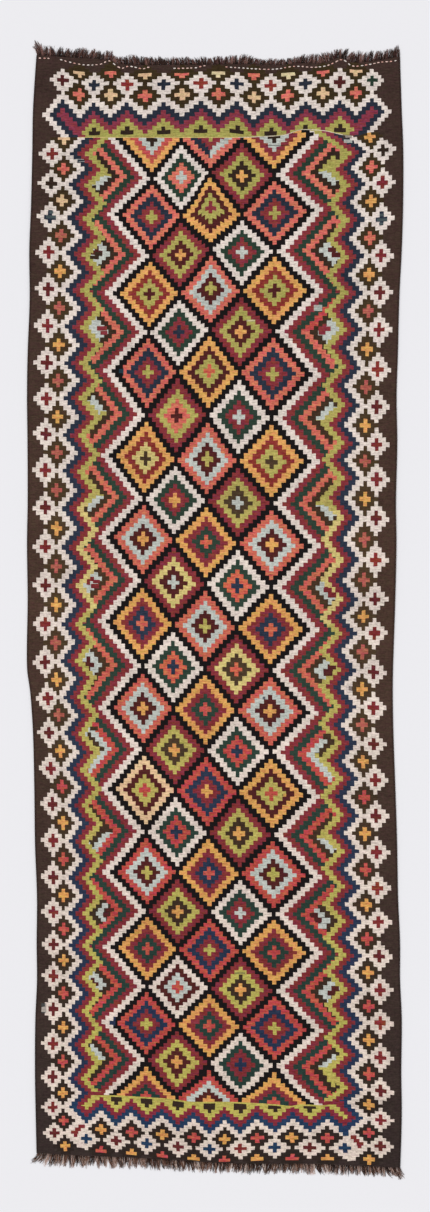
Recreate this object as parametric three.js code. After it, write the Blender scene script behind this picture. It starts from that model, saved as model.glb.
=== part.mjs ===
// A flat-woven wool runner that lies flat on the floor: one woven ground with
// uneven selvedges, and a short fringe of cut warp ends along each end.
//
// Millimetres. +Y runs along the length, +Z is up, and the origin is on the
// floor under the middle of the runner. Every piece rests on z = 0.
import * as THREE from "three";

// ---- Driving dimensions ----------------------------------------------------

const GROUND_THICKNESS = 2.5; // beaten wool weft over wool warp
const FRINGE_THICKNESS = 1.8; // loose warp ends, thinner than the cloth
const SEAT_GAP = 0.3; // the fringe's root stands this far off the woven edge

const STEPS_ALONG_SELVEDGE = 110;
const STEPS_ALONG_END = 60;

const TUFTS_PER_END = 84; // the warp ends hang together in small tufts
const ROOT_BAND = 4; // depth of the band that joins the tufts
const TUFT_ROOT_SHARE = 0.74; // share of the pitch that a tuft takes at its root
const TUFT_TIP_SHARE = 0.3;
const REACH_UNEVENNESS = 0.16; // share by which a tuft is longer or shorter
const LEAN_UNEVENNESS = 3.5;

// The selvedges: distance out from the middle line, as the weaver drew the
// cloth in and let it out again.
const SELVEDGES = [
  { y: -1680, left: 534, right: 555 },
  { y: -1510, left: 538, right: 560 },
  { y: -1390, left: 540, right: 558.5 },
  { y: -1230, left: 539, right: 560 },
  { y: -1110, left: 534, right: 555 },
  { y: -1000, left: 535, right: 555 },
  { y: -860, left: 534, right: 549 },
  { y: -700, left: 540, right: 546 },
  { y: -540, left: 542, right: 541 },
  { y: -370, left: 546, right: 535 },
  { y: -250, left: 554, right: 533 },
  { y: -170, left: 564, right: 534 },
  { y: 30, left: 562, right: 540.5 },
  { y: 200, left: 564, right: 544 },
  { y: 320, left: 562, right: 542.5 },
  { y: 500, left: 562.5, right: 546.5 },
  { y: 640, left: 564, right: 544.5 },
  { y: 770, left: 562, right: 548.5 },
  { y: 930, left: 556, right: 552.5 },
  { y: 1080, left: 557, right: 560 },
  { y: 1210, left: 552, right: 564 },
  { y: 1380, left: 548, right: 564.5 },
  { y: 1500, left: 546, right: 560 },
  { y: 1670, left: 535, right: 554.5 },
];

// The woven ends: where the last weft lies across the width.
const FAR_END = [
  { x: -540, y: 1659 },
  { x: -405, y: 1641 },
  { x: -255, y: 1629 },
  { x: -60, y: 1626 },
  { x: 165, y: 1623 },
  { x: 285, y: 1630 },
  { x: 335, y: 1635 },
  { x: 375, y: 1650 },
  { x: 412, y: 1634 },
  { x: 480, y: 1638 },
  { x: 560, y: 1650 },
];
const NEAR_END = [
  { x: -540, y: -1628 },
  { x: -408, y: -1636 },
  { x: -249, y: -1642 },
  { x: -87, y: -1652 },
  { x: 60, y: -1660 },
  { x: 291, y: -1661 },
  { x: 453, y: -1668 },
  { x: 560, y: -1673 },
];

// The fringes: how far the tufts reach beyond the woven end, and how far
// their tips lean along it, from the left corner to the right one.
const FAR_FRINGE = [
  { x: -540, reach: 54, lean: -13 },
  { x: -505, reach: 44, lean: -8 },
  { x: -420, reach: 40, lean: 2 },
  { x: -300, reach: 38, lean: -3 },
  { x: -240, reach: 27, lean: -5 },
  { x: 0, reach: 25, lean: 0 },
  { x: 250, reach: 28, lean: 3 },
  { x: 400, reach: 34, lean: 5 },
  { x: 500, reach: 33, lean: 2 },
  { x: 560, reach: 46, lean: 8 },
];
const NEAR_FRINGE = [
  { x: -540, reach: 36, lean: -18 },
  { x: -480, reach: 38, lean: -5 },
  { x: -280, reach: 37, lean: 3 },
  { x: -100, reach: 29, lean: 2 },
  { x: 60, reach: 27, lean: -3 },
  { x: 300, reach: 30, lean: 2 },
  { x: 560, reach: 31, lean: 6 },
];

// ---- Lines -----------------------------------------------------------------

// A smooth line through the rows of a table, read at any place along it.
function smoothLine(rows, along, column) {
  const places = Float32Array.from(rows, (row) => row[along]);
  const values = Float32Array.from(rows, (row) => row[column]);
  const line = new THREE.CubicInterpolant(places, values, 1);
  return (place) => line.evaluate(place)[0];
}

// The places that cut the stretch from start to end into equal steps.
function stepsBetween(start, end, steps) {
  return Array.from(
    { length: steps + 1 },
    (_, i) => start + ((end - start) * i) / steps,
  );
}

const leftOf = smoothLine(SELVEDGES, "y", "left");
const rightOf = smoothLine(SELVEDGES, "y", "right");
const farEndAt = smoothLine(FAR_END, "x", "y");
const nearEndAt = smoothLine(NEAR_END, "x", "y");

// Each corner of the woven ground is where its selvedge meets its end.
function cornersOf(endAt, roughY) {
  const left = -leftOf(endAt(-leftOf(roughY)));
  const right = rightOf(endAt(rightOf(roughY)));
  return { left, right };
}

const farCorners = cornersOf(farEndAt, FAR_END[0].y);
const nearCorners = cornersOf(nearEndAt, NEAR_END[0].y);

// ---- Pieces ----------------------------------------------------------------

function slab(points, thickness) {
  return new THREE.ExtrudeGeometry(new THREE.Shape(points), {
    depth: thickness,
    bevelEnabled: false,
    steps: 1,
  });
}

// The whole cloth in one piece, selvedges and woven ends included.
function wovenGround() {
  const farXs = stepsBetween(farCorners.left, farCorners.right, STEPS_ALONG_END);
  const nearXs = stepsBetween(nearCorners.right, nearCorners.left, STEPS_ALONG_END);
  const rightYs = stepsBetween(
    farEndAt(farCorners.right),
    nearEndAt(nearCorners.right),
    STEPS_ALONG_SELVEDGE,
  ).slice(1, -1);
  const leftYs = stepsBetween(
    nearEndAt(nearCorners.left),
    farEndAt(farCorners.left),
    STEPS_ALONG_SELVEDGE,
  ).slice(1, -1);
  const outline = [
    ...farXs.map((x) => new THREE.Vector2(x, farEndAt(x))),
    ...rightYs.map((y) => new THREE.Vector2(rightOf(y), y)),
    ...nearXs.map((x) => new THREE.Vector2(x, nearEndAt(x))),
    ...leftYs.map((y) => new THREE.Vector2(-leftOf(y), y)),
  ];
  return slab(outline, GROUND_THICKNESS);
}

// One comb of tufts along a woven end. `outward` is +1 at the far end and -1
// at the near one.
function fringeComb(endAt, corners, fringe, outward) {
  const reachAt = smoothLine(fringe, "x", "reach");
  const leanAt = smoothLine(fringe, "x", "lean");
  const pitch = (corners.right - corners.left) / TUFTS_PER_END;
  const seat = (x) =>
    new THREE.Vector2(x, endAt(x) + outward * SEAT_GAP);
  const root = (x) =>
    new THREE.Vector2(x, endAt(x) + outward * (SEAT_GAP + ROOT_BAND));
  const tip = (x, reach, lean) =>
    new THREE.Vector2(x + lean, endAt(x) + outward * reach);

  const outline = stepsBetween(corners.left, corners.right, STEPS_ALONG_END).map(seat);
  for (let i = TUFTS_PER_END - 1; i >= 0; i--) {
    const middle = corners.left + (i + 0.5) * pitch;
    const unevenness = Math.sin(i * 2.4) * 0.6 + Math.sin(i * 0.9 + outward) * 0.4;
    const reach = reachAt(middle) * (1 + REACH_UNEVENNESS * unevenness);
    const lean = leanAt(middle) + LEAN_UNEVENNESS * Math.sin(i * 1.7 + outward);
    const halfRoot = (pitch * TUFT_ROOT_SHARE) / 2;
    const halfTip = (pitch * TUFT_TIP_SHARE) / 2;
    outline.push(
      root(middle + halfRoot),
      tip(middle + halfTip, reach, lean),
      tip(middle - halfTip, reach, lean),
      root(middle - halfRoot),
    );
  }
  return slab(outline, FRINGE_THICKNESS);
}

// ---- Assembly --------------------------------------------------------------

const kilimWool = new THREE.MeshStandardMaterial({
  color: 0x7a4038,
  roughness: 0.95,
  metalness: 0,
});
const warpWool = new THREE.MeshStandardMaterial({
  color: 0x564440,
  roughness: 0.95,
  metalness: 0,
});

function piece(name, geometry, material) {
  const mesh = new THREE.Mesh(geometry, material);
  mesh.name = name;
  return mesh;
}

const cloth = new THREE.Group();
cloth.add(
  piece("woven_ground", wovenGround(), kilimWool),
  piece("fringe_far", fringeComb(farEndAt, farCorners, FAR_FRINGE, 1), warpWool),
  piece("fringe_near", fringeComb(nearEndAt, nearCorners, NEAR_FRINGE, -1), warpWool),
);

// The tables are measured from the middle line of the weaving. The origin
// goes under the middle of everything, fringes included.
const reach = new THREE.Box3().setFromObject(cloth);
cloth.position.set(
  -(reach.min.x + reach.max.x) / 2,
  -(reach.min.y + reach.max.y) / 2,
  -reach.min.z,
);

const runner = new THREE.Group();
runner.add(cloth);

export default runner;
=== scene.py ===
# A flat-woven wool runner: a field of stepped diamonds between borders of small
# crosses, with running stitches along its far end and a cut warp fringe at both.
#
# The tables are in millimetres from the middle line of the weaving, with +y
# towards the far end. Meshes are in metres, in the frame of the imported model.
import math
import random

import bpy
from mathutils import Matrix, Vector


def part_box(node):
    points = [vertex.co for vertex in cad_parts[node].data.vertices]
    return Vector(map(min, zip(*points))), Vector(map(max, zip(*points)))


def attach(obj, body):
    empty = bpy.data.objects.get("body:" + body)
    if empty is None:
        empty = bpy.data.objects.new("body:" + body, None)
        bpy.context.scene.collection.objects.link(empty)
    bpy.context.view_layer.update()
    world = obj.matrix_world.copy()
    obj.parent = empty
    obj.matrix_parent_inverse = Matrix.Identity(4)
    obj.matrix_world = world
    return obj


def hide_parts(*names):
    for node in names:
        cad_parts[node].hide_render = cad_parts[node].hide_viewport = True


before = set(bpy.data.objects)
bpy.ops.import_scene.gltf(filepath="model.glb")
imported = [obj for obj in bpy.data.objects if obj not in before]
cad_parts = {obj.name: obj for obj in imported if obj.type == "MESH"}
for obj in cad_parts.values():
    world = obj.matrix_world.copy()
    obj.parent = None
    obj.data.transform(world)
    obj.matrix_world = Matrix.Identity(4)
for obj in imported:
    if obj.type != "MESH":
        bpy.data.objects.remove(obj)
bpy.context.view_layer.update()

MM = 0.001
SEED = 1881


def table(columns, *rows):
    """Rows of measures under named columns."""
    return [dict(zip(columns.split(), row)) for row in rows]


# ---- The loom's measures ---------------------------------------------------

CLOTH_THICKNESS = 2.5

# The selvedges: distance out from the middle line.
SELVEDGES = table(
    "y left right",
    (-1680, 534, 555),
    (-1510, 538, 560),
    (-1390, 540, 558.5),
    (-1230, 539, 560),
    (-1110, 534, 555),
    (-1000, 535, 555),
    (-860, 534, 549),
    (-700, 540, 546),
    (-540, 542, 541),
    (-370, 546, 535),
    (-250, 554, 533),
    (-170, 564, 534),
    (30, 562, 540.5),
    (200, 564, 544),
    (320, 562, 542.5),
    (500, 562.5, 546.5),
    (640, 564, 544.5),
    (770, 562, 548.5),
    (930, 556, 552.5),
    (1080, 557, 560),
    (1210, 552, 564),
    (1380, 548, 564.5),
    (1500, 546, 560),
    (1670, 535, 554.5),
)

# The woven ends as they are packed, and the far end's loose last wefts, which
# stand a little beyond it between the stitches and the fringe.
FAR_END = table(
    "x y",
    (-540, 1659),
    (-405, 1641),
    (-255, 1629),
    (-60, 1626),
    (165, 1623),
    (285, 1630),
    (335, 1635),
    (375, 1650),
    (412, 1634),
    (480, 1638),
    (560, 1650),
)
NEAR_END = table(
    "x y",
    (-540, -1628),
    (-408, -1636),
    (-249, -1642),
    (-87, -1652),
    (60, -1660),
    (291, -1661),
    (453, -1668),
    (560, -1673),
)
FAR_EDGE = table(
    "x y",
    (-540, 1664),
    (-465, 1659),
    (-321, 1649),
    (-285, 1637),
    (-105, 1635),
    (105, 1637),
    (195, 1635),
    (255, 1640),
    (315, 1639.5),
    (345, 1647),
    (375, 1657),
    (405, 1645),
    (435, 1642),
    (495, 1649),
    (560, 1662),
)

# The fringes: how far the longest strands reach beyond the edge, and how far
# their tips lean along it.
FAR_FRINGE = table(
    "x reach lean",
    (-540, 68, -22),
    (-528, 48, -14),
    (-505, 34, -5),
    (-450, 30, 2),
    (-390, 31, 3),
    (-345, 29, 1),
    (-320, 31, 2),
    (-291, 24, -2),
    (-255, 30, -6),
    (-165, 28, -5),
    (-100, 24, -2),
    (-20, 24, 0),
    (45, 29, 1),
    (90, 29, 1),
    (120, 21, 2),
    (200, 20, 2),
    (255, 25, 3),
    (300, 33, 5),
    (345, 29, -4),
    (375, 30, 4),
    (420, 36, 8),
    (495, 33, 3),
    (540, 38, 6),
    (556, 47, 9),
)
NEAR_FRINGE = table(
    "x reach lean",
    (-540, 38, -18),
    (-480, 38, -5),
    (-280, 36, 3),
    (-100, 34, 2),
    (60, 33, -3),
    (300, 34, 2),
    (500, 31, 1),
    (525, 33, 12),
    (560, 38, 14),
)

# ---- The charts --------------------------------------------------------------
# A chart counts in steps: one block of colour is one step wide and one high.

# The field has five columns of diamonds, a column every 8 steps. The first,
# third and fifth have a diamond every 18 steps, and the others stand between.
COLUMN_STEPS = 8
ROW_STEPS = 18
FIELD_STEPS = 4 * COLUMN_STEPS
COLUMN_REACH = 3  # how far outside the outer columns the even columns' dyes are read
DIAMOND_REACH = 8.5  # from a diamond's middle to its tips
CHEVRON_MIDDLE = 14  # how far outside the outer columns the chevrons' middles lie
CHEVRON_REACH = 15.5  # and how far outside them the chevrons end
CENTRE_REACH = 1.5  # from a diamond's middle to the edge of its centre
RING_STEPS = 2  # the width of each ring round it
FIELD_ROWS = table(
    "row y rise left right",
    (0, 1415, 9, -189, 177),
    (1, 1184, 12, -190, 179),
    (2, 953, 12, -196.5, 179),
    (3, 711, -4, -201, 173),
    (4, 449, -10, -208.5, 169),
    (5, 204, -18, -216, 171),
    (6, -49, -18, -218, 167),
    (7, -299, -8, -216, 165),
    (8, -545, -10, -210, 169),
    (9, -790, -6, -204, 175),
    (10, -1021, -12, -202.5, 177),
    (11, -1248, -14, -206, 179),
    (11.5, -1358, -16, -206.5, 178),
    (11.7, -1410, -21, -207, 177.5),
    (11.8, -1431, -19, -207, 177),
    (11.9, -1449, -18, -207, 177),
    (12, -1468, -18, -207, 177),
    (12.02, -1520, -18, -207, 177),
)
COLUMN_SHARES = table(
    "share steps",
    (0.0, 0),
    (0.24, 8),
    (0.49, 16),
    (0.735, 24),
    (1.0, 32),
)
LEFT_STEP = 11.6  # width of one step outside the first column
RIGHT_STEP = 12.65  # and outside the fifth

# The third column was beaten less, so it stands higher and further left.
THIRD_COLUMN = table(
    "row lift shift",
    (0, 10, -3),
    (0.4, 10, -6),
    (0.6, 16.5, -7),
    (1, 24, -5),
    (1.4, 15, -3),
    (1.7, 12, -1),
    (2, 12, 0),
    (2.4, 8, 0),
    (3, 6, 0),
    (4, 3, 0),
    (5, 0, 0),
    (6, 0, 0),
    (11, 0, 0),
    (12, -6, 0),
)
THIRD_COLUMN_REACH = 3.2

# How far the outer tips of the field's zigzags stand above their rows.
ZIGZAG_TIPS = table(
    "row left right",
    (0, 10, 6),
    (1, 13.5, 6),
    (2, 9, -6),
    (3, 3, -3),
    (4, 6, 6),
    (5, 0, 3),
    (6, 0, 6),
    (7, 0, -3),
    (8, 0, -6),
    (9, 0, -6),
    (10, 0, 3),
    (11, 0, -3),
    (12, 0, 0),
)
ZIGZAG_TIP_STEPS = 11.5
ZIGZAG_TIP_LIMIT = 1.3  # the lift grows no further than this share of a tip's

# Each diamond's dyes from its outer ring to its centre, far end first.
DIAMONDS = {
    "first": (
        "gold red grey umber", "salmon navy crimson olive",
        "gold brick olive maroon", "salmon navy crimson olive",
        "gold brick straw moss", "salmon grey maroon gold",
        "gold crimson navy salmon", "salmon grey maroon gold",
        "peach maroon olive vermilion", "vermilion grey maroon olive",
        "gold crimson green vermilion", "vermilion navy crimson olive",
        "gold crimson green vermilion",
    ),
    "second": (
        "ivory green salmon grey", "crimson olive maroon gold",
        "ivory green crimson navy", "crimson olive salmon maroon",
        "ivory green crimson gold", "crimson straw maroon grey",
        "ivory green orange navy", "crimson olive moss gold",
        "ivory green vermilion navy", "crimson olive umber gold",
        "ivory maroon grey vermilion", "crimson olive maroon gold",
    ),
    "third": (
        "salmon navy crimson olive", "gold maroon olive crimson",
        "salmon grey maroon olive", "gold maroon olive orange",
        "salmon grey maroon olive", "gold crimson green orange",
        "salmon grey maroon olive", "gold crimson green red",
        "vermilion navy crimson gold", "gold crimson navy red",
        "vermilion navy crimson olive", "gold crimson green vermilion",
        "vermilion grey maroon gold",
    ),
    "fourth": (
        "crimson olive umber gold", "ivory green crimson grey",
        "crimson olive maroon gold", "ivory green crimson grey",
        "crimson olive moss grey", "ivory green orange navy",
        "crimson straw moss orange", "ivory green vermilion navy",
        "crimson olive umber gold", "ivory green crimson grey",
        "crimson olive umber gold", "ivory green crimson navy",
    ),
    "fifth": (
        "gold crimson grey umber", "salmon navy crimson olive",
        "gold brick olive maroon", "salmon navy crimson olive",
        "gold brick olive moss", "salmon grey maroon gold",
        "gold crimson navy orange", "salmon grey maroon gold",
        "gold maroon olive vermilion", "vermilion grey maroon olive",
        "gold crimson green vermilion", "vermilion navy crimson olive",
        "gold crimson green vermilion",
    ),
}
ODD_COLUMNS = ("first", "third", "fifth")
EVEN_COLUMNS = ("second", "fourth")

# The half diamonds down both sides of the field: the rings of their upper and
# lower arms, from the outer one inwards, and the spot in the middle.
CHEVRONS = table(
    "upper lower spot",
    ("salmon umber olive", "salmon umber grey", "olive"),
    ("salmon umber grey", "salmon umber grey", "maroon"),
    ("salmon umber grey", "salmon umber grey", "grey"),
    ("salmon umber grey", "salmon umber olive", "olive"),
    ("salmon umber olive", "salmon umber grey", "olive"),
    ("salmon umber grey", "salmon umber grey", "madder"),
    ("salmon umber grey", "salmon umber grey", "maroon"),
    ("vermilion grey umber", "vermilion grey olive", "olive"),
    ("vermilion umber olive", "vermilion umber grey", "olive"),
    ("vermilion umber umber", "vermilion umber umber", "umber"),
    ("vermilion umber grey", "vermilion umber grey", "maroon"),
    ("vermilion umber grey", "vermilion umber olive", "olive"),
)
# The few where one side differs from the other.
LEFT_CHEVRONS = {
    8: {"upper": "vermilion umber umber", "lower": "vermilion grey umber", "spot": "umber"},
}
RIGHT_CHEVRONS = {
    2: {"upper": "vermilion umber grey", "lower": "salmon umber grey", "spot": "grey"},
}

# The borders: a white diamond every 8 steps. "step" is the width of one step
# inwards, and "lean" is how far the pattern rises over it.
BORDER_STEPS = 8
LEFT_BORDER = table(
    "diamond x y step lean",
    (-0.5, -488, 1416, 11.6, 0.0),
    (0, -488, 1368, 11.6, 0.0),
    (1, -491, 1280, 11.6, -0.7),
    (3, -498, 1072, 11.55, -0.65),
    (6, -504, 742, 11.45, -0.2),
    (7, -505.5, 634, 11.4, 0.0),
    (8, -507, 529, 11.35, -0.7),
    (9, -508.5, 420, 11.25, -0.6),
    (13, -508.5, -41, 10.6, -0.1),
    (14, -510, -156, 10.5, 0.6),
    (15, -501.5, -265, 10.45, 0.5),
    (16, -498, -368, 10.4, -0.4),
    (18, -487.5, -582, 10.3, -0.5),
    (21, -484.5, -906, 10.2, -0.5),
    (23, -484.5, -1097, 10.15, -0.5),
    (26, -486.5, -1401, 10.0, -0.5),
    (27, -486, -1491, 10.0, 0.0),
    (28, -481.5, -1569.5, 10.0, 0.0),
)
RIGHT_BORDER = table(
    "diamond x y step lean",
    (-0.5, 497.5, 1422, 11.25, -1.1),
    (0, 504, 1380, 11.25, -1.1),
    (1, 502, 1282, 11.25, -0.9),
    (3, 497, 1062, 11.25, -0.4),
    (5, 492, 841, 11.3, 0.2),
    (6, 488, 722, 11.3, 0.8),
    (7, 485, 610, 11.3, 0.4),
    (8, 484.6, 497, 11.3, 0.4),
    (9, 484.5, 393, 11.3, 0.3),
    (12, 480, 32, 11.35, -0.1),
    (13, 478, -68, 11.35, -0.2),
    (14, 475, -186, 11.4, 1.0),
    (15, 475, -293, 11.4, 0.5),
    (16, 476, -402, 11.4, 0.4),
    (17, 480.5, -509, 11.4, 0.4),
    (20, 487, -833, 11.5, 0.35),
    (23, 495, -1139, 11.6, 0.3),
    (24, 495.8, -1239.4, 11.6, 0.3),
    (25, 495.8, -1342.5, 11.6, 1.0),
    (26, 496.5, -1443, 11.6, 1.2),
    (27, 496.5, -1529.3, 11.6, 0.9),
    (28, 496.5, -1609.5, 11.6, 0.5),
)
# The same for the end borders. "step" is the height of one step towards the
# field, and "outward" of one towards the fringe.
FAR_BORDER = table(
    "diamond x y step outward",
    (-0.625, -512, 1591, 13.2, 9.0),
    (0, -457.5, 1591, 13.2, 9.0),
    (0.5, -406, 1585, 12.8, 8.4),
    (1, -363, 1575, 12.2, 10.4),
    (1.5, -313.5, 1581, 12.1, 10.0),
    (2, -264, 1576, 12.0, 10.0),
    (2.5, -210, 1578, 12.0, 9.0),
    (3, -154, 1577, 12.0, 9.6),
    (3.5, -99, 1583, 12.0, 8.0),
    (4, -42, 1581, 12.0, 9.6),
    (4.5, 10.5, 1583, 12.0, 9.0),
    (5, 66, 1579, 12.0, 9.9),
    (5.5, 117, 1573.5, 12.0, 10.4),
    (6, 167, 1573, 12.0, 10.2),
    (6.5, 219, 1578, 12.0, 9.2),
    (7, 271.5, 1579.5, 12.0, 10.3),
    (7.5, 324, 1586, 12.0, 9.0),
    (8, 375, 1583, 12.0, 12.4),
    (8.5, 423, 1587, 12.0, 9.4),
    (9, 471, 1589, 12.0, 9.4),
    (9.625, 523, 1589, 11.7, 9.4),
)
NEAR_BORDER = table(
    "diamond x y step outward",
    (0, -386, -1586, 10.3, 9.35),
    (2, -205, -1600, 10.3, 9.35),
    (4, -16.5, -1617, 10.2, 9.35),
    (5, 75.5, -1615.5, 10.1, 9.35),
    (6, 179, -1612, 10.1, 9.35),
    (8, 390, -1614, 10.1, 9.35),
)

# The threads that part the field from the end borders.
FAR_LINE = table(
    "x y",
    (-560, 1417.5),
    (-405, 1417.5),
    (75, 1417.5),
    (150, 1420.5),
    (210, 1425),
    (255, 1440),
    (294, 1440),
    (330, 1437),
    (366, 1429),
    (405, 1422),
    (440, 1425),
    (455, 1431),
    (485, 1434),
    (565, 1434),
)
NEAR_LINE = table(
    "x y",
    (-560, -1450),
    (-362, -1455.3),
    (-246, -1460.7),
    (-138, -1468),
    (-64, -1477),
    (42, -1477),
    (129, -1481.3),
    (181, -1484.3),
    (226, -1489.5),
    (256, -1485),
    (331, -1487),
    (361, -1483),
    (560, -1480),
)

# The crosses' dyes. "on_white" are in the white diamonds, "on_dark" stand
# inwards of them on the dark ground, and "halves" are cut by the woven end.
CROSSES = {
    "left": {
        "on_white": (
            "madder umber navy madder wine madder wine madder wine madder wine "
            "madder wine madder wine madder wine madder wine madder wine madder wine madder "
            "wine madder wine madder wine madder wine"
        ),
        "on_dark": (
            "peach salmon peach terracotta gold terracotta gold terracotta gold terracotta "
            "terracotta gold terracotta gold terracotta gold terracotta gold "
            "red gold red gold red gold red gold red gold red gold"
        ),
    },
    "right": {
        "on_white": (
            "umber madder navy madder wine madder brick wine madder madder wine brick "
            "wine madder wine madder wine madder wine madder brick madder wine "
            "madder brick madder wine madder wine"
        ),
        "on_dark": (
            "gold salmon gold salmon gold terracotta gold terracotta gold terracotta gold "
            "terracotta terracotta gold terracotta gold terracotta gold red gold red gold "
            "red gold red gold red gold red gold"
        ),
    },
    "far": {
        "on_white": "maroon navy brick navy brick navy brick navy maroon green",
        "on_dark": "salmon peach salmon peach salmon peach salmon peach salmon",
        "halves": "peach salmon peach salmon wheat salmon wheat salmon peach",
    },
    "near": {
        "on_white": "navy wine navy wine navy madder navy wine navy",
        "on_dark": "gold red gold red gold red gold red",
        "halves": "red gold red gold red gold red gold",
    },
}
# Where they stand: steps inwards, and repeats from the first white diamond.
DARK_DEPTH = 3  # of the crosses on the dark ground
SIDE_CROSSES = {"on_white": (0, 0.0), "on_dark": (DARK_DEPTH, -0.5)}
END_CROSSES = {"on_white": (0, 0.0), "on_dark": (DARK_DEPTH, 0.5), "halves": (-DARK_DEPTH, 0.5)}

# The dyes. Those that drifted along the cloth have one colour for the far end and
# one for the near end, and some have one for the middle between them.
DYES = {
    "brown": "#402E28 #4C362B #372B28",
    "ground": "#3A2C16 #4F3B26 #2E231E",
    "ivory": "#E7D9D0 #E4D1C3",
    "black": "#161112",
    "navy": "#262C3A #2C3548 #22314F",
    "crimson": "#8B2B32 #82242B",
    "plum": "#8A2F41 #822031",
    "madder": "#7E2022",
    "red": "#C2483E",
    "brick": "#8C2B20",
    "salmon": "#DB6E59 #CE5F48 #BF4B3B",
    "terracotta": "#B55A4B",
    "vermilion": "#BD4035",
    "orange": "#D2603F",
    "olive": "#A9A250 #B9AB57 #BBAF4F",
    "straw": "#D6C174",
    "wheat": "#E2CFA0",
    "gold": "#E3A353 #DC9B49",
    "grey": "#C1C5BD",
    "maroon": "#521C1A",
    "green": "#263B2E #2F4236 #243C36",
    "moss": "#4C3926",
    "umber": "#2D2019 #4A3421 #33251D",
    "peach": "#E3BD90",
    "indigo": "#1E3858",
    "slate": "#4A5658",
    "teal": "#1F3A45",
    "haze": "#BDB0AF",
    "cream": "#DFD2B8",
    "wine": "#66201F",
}

# Where a lot of dyed wool ran out, the weaver went on with another.
OTHER_LOTS = table(
    "dye instead x y wide high",
    ("navy", "grey", 45, 1375, 120, 80),
    ("olive", "straw", -360, 159, 150, 315),
    ("olive", "straw", 366, 130, 150, 345),
    ("crimson", "plum", 0, 1520, 1300, 206),
    ("crimson", "plum", 0, -1545, 900, 150),
    ("navy", "indigo", 0, -1545, 900, 150),
    ("salmon", "teal", -288, 711, 26, 26),
    ("black", "navy", -321, -1228, 40, 40),
)

# Small places that time or the weaver left different.
MARKS = table(
    "x y wide high dye strength",
    (-490.5, 1192.5, 12, 8, "slate", 0.9),
    (-492, 1179, 30, 9, "slate", 0.9),
    (499.5, 1185, 12, 8, "slate", 0.9),
    (501, 1170, 30, 9, "slate", 0.9),
    (498, 1158, 12, 8, "slate", 0.9),
    (-513, -1194, 15, 30, "slate", 0.5),
    (399, 1406, 25, 10, "grey", 0.8),
    (397, 1420, 27, 12, "moss", 0.6),
    (309, 906, 25, 18, "grey", 0.7),
    (107, 868, 25, 5, "cream", 0.5),
    (-405, 1351.5, 24, 2.5, "grey", 0.5),
    (-400, 1345, 18, 2, "grey", 0.5),
    (189, 1393.5, 72, 3, "black", 0.6),
    (207, 1405.5, 18, 3, "cream", 0.5),
    (460.5, -1527, 21, 12, "haze", 0.3),
    (402, -235.5, 18, 27, "haze", 0.35),
    (75, -1089, 30, 5, "green", 0.6),
    (147, -264, 8, 8, "navy", 0.8),
    (209, -555, 9, 9, "gold", 0.8),
    (203, -555, 4, 4, "black", 0.8),
    (-355.5, -1450, 45, 10.5, "crimson", 1.0),
    (358.5, -1478, 57, 10.5, "crimson", 1.0),
    (385.5, -1561, 30, 11, "navy", 1.0),
    (392, -1572, 18, 11, "navy", 1.0),
    (-400, -1548.5, 20, 11, "madder", 1.0),
    (-411, -1557.5, 18, 11, "madder", 1.0),
    (-421, -1566, 22, 10, "madder", 1.0),
    (-418, -1575.5, 11, 10.5, "madder", 1.0),
    (415.5, -1581, 18, 12, "madder", 1.0),
    (424.5, -1591.5, 18, 11, "madder", 1.0),
    (435, -1601, 21, 11, "madder", 1.0),
    (433.5, -1609.5, 12, 9, "madder", 1.0),
)

# The hearts of the chevrons where they aren't a ring's own shape.
HEARTS = table(
    "x y wide high dye",
    (-349.5, 1068, 21, 12, "umber"),
    (-361.5, 1057.5, 27, 10.5, "umber"),
    (351, 1080, 24, 13.5, "maroon"),
    (363, 1065, 27, 15, "maroon"),
    (-339, 844.5, 30, 13.5, "crimson"),
    (-333, 831, 21, 12, "crimson"),
    (328.5, 854, 12, 8, "crimson"),
    (328.5, 843.5, 37, 14, "crimson"),
    (321, 831, 21, 11, "crimson"),
    (-355.5, 85.5, 21, 10.5, "madder"),
    (-360, 72, 24, 13.5, "madder"),
    (338, 60, 25, 14, "madder"),
    (351, 45, 25, 16, "madder"),
    (351, -172.5, 24, 12, "maroon"),
    (339, -187.5, 27, 21, "maroon"),
    (-363, -355.5, 24, 12, "umber"),
    (-339, -417, 15, 12, "umber"),
    (336, -379.5, 24, 18, "umber"),
    (348, -396, 21, 18, "umber"),
    (-330, -886.5, 18, 15, "grey"),
    (-342, -900, 18, 12, "grey"),
    (-346.5, -910.5, 21, 11, "grey"),
    (-342, -919.5, 15, 9, "grey"),
    (-334.5, -928.5, 15, 12, "grey"),
    (-318, -900, 18, 11, "maroon"),
    (-327, -913.5, 18, 12, "maroon"),
    (305.5, -901.5, 17, 12, "grey"),
    (319, -914.5, 20, 15, "grey"),
    (331.5, -931.5, 28, 16, "grey"),
    (322, -948, 25, 15, "grey"),
    (298, -915, 22, 15, "maroon"),
    (310.5, -930, 20, 15, "maroon"),
    (361, -1136, 22, 16, "maroon"),
    (349, -1150, 21, 13, "maroon"),
)

# The running stitches along the far end, and the stretches where they are lost.
STITCH_LINE = table(
    "x y",
    (-528, 1655),
    (-468, 1651.5),
    (-441, 1644),
    (-393, 1635),
    (-345, 1636.5),
    (-318, 1647),
    (-306, 1639.5),
    (-291, 1629),
    (-279, 1624.5),
    (-258, 1630.5),
    (-216, 1623),
    (-201, 1627.5),
    (-132, 1624.5),
    (-60, 1626),
    (-30, 1632),
    (27, 1629),
    (69, 1626),
    (174, 1621.5),
    (240, 1630.5),
    (294, 1627.5),
    (333, 1632),
    (360, 1642.5),
    (375, 1650),
    (390, 1647),
    (405, 1635),
    (420, 1630.5),
    (465, 1636.5),
    (495, 1642.5),
    (540, 1647),
    (550, 1653),
)
STITCH_GAPS = table("start end", (-498, -474), (-198, -135), (-27, 24))

# ---- Lines ---------------------------------------------------------------------


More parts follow.
